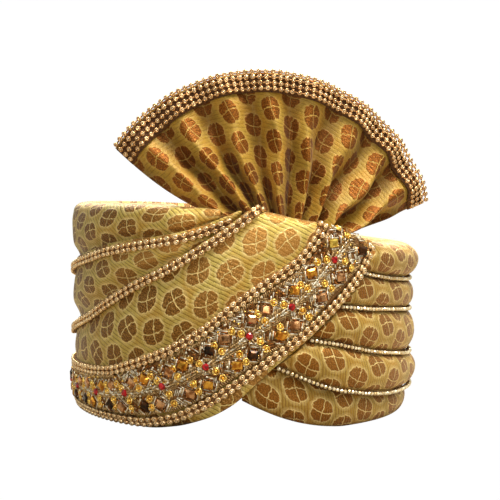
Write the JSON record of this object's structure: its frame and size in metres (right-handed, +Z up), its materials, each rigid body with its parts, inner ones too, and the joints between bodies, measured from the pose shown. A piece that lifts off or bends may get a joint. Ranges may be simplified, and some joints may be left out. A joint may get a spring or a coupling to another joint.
{
  "type": "tied turban",
  "caption": "Ready-tied wedding turban: hollow cloth cap wound with overlapping brocade wraps and padded rolls, crossed by a jewelled band under a pleated fan.",
  "frame": {"origin": "middle of the bounding box, on the surface that the turban stands on", "axes": "+Z up, front towards -Y, +X to the viewer's right"},
  "size_m": [0.249, 0.2662, 0.2331],
  "materials": {
    "brocade": "olive-gold woven brocade with copper leaf motifs",
    "fan_brocade": "the same brocade, starched and pleated",
    "cap_cloth": "plain woven cloth",
    "embroidery": "metal thread and bugle beads on cloth",
    "copper_beads": "metallic copper coated beads",
    "crystal_chain": "champagne rhinestones in metal cups",
    "red_crystal": "faceted, foil backed",
    "mirror_stone": "faceted amber mirror"
  },
  "bodies": {
    "root": {"band_low_trim": "copper_beads", "band_top_trim": "copper_beads", "crown_cap": "cap_cloth", "fan": "fan_brocade", "fan_border": "copper_beads", "front_wrap": "brocade", "jewelled_band": "embroidery", "lower_mirror_1": "mirror_stone", "lower_mirror_10": "mirror_stone", "lower_mirror_11": "mirror_stone", "lower_mirror_12": "mirror_stone", "lower_mirror_13": "mirror_stone", "lower_mirror_2": "mirror_stone", "lower_mirror_3": "mirror_stone", "lower_mirror_4": "mirror_stone", "lower_mirror_5": "mirror_stone", "lower_mirror_6": "mirror_stone", "lower_mirror_7": "mirror_stone", "lower_mirror_8": "mirror_stone", "lower_mirror_9": "mirror_stone", "lower_trim": "copper_beads", "middle_wrap": "brocade", "red_stone_1": "red_crystal", "red_stone_10": "red_crystal", "red_stone_11": "red_crystal", "red_stone_12": "red_crystal", "red_stone_13": "red_crystal", "red_stone_2": "red_crystal", "red_stone_3": "red_crystal", "red_stone_4": "red_crystal", "red_stone_5": "red_crystal", "red_stone_6": "red_crystal", "red_stone_7": "red_crystal", "red_stone_8": "red_crystal", "red_stone_9": "red_crystal", "roll_1": "brocade", "roll_2": "brocade", "roll_3": "brocade", "roll_4": "brocade", "roll_5": "brocade", "stone_chain_1": "crystal_chain", "stone_chain_2": "crystal_chain", "stone_chain_3": "crystal_chain", "stone_chain_4": "crystal_chain", "upper_mirror_1": "mirror_stone", "upper_mirror_10": "mirror_stone", "upper_mirror_11": "mirror_stone", "upper_mirror_12": "mirror_stone", "upper_mirror_13": "mirror_stone", "upper_mirror_2": "mirror_stone", "upper_mirror_3": "mirror_stone", "upper_mirror_4": "mirror_stone", "upper_mirror_5": "mirror_stone", "upper_mirror_6": "mirror_stone", "upper_mirror_7": "mirror_stone", "upper_mirror_8": "mirror_stone", "upper_mirror_9": "mirror_stone", "upper_trim": "copper_beads", "upper_wrap": "brocade"}
  },
  "joints": []
}
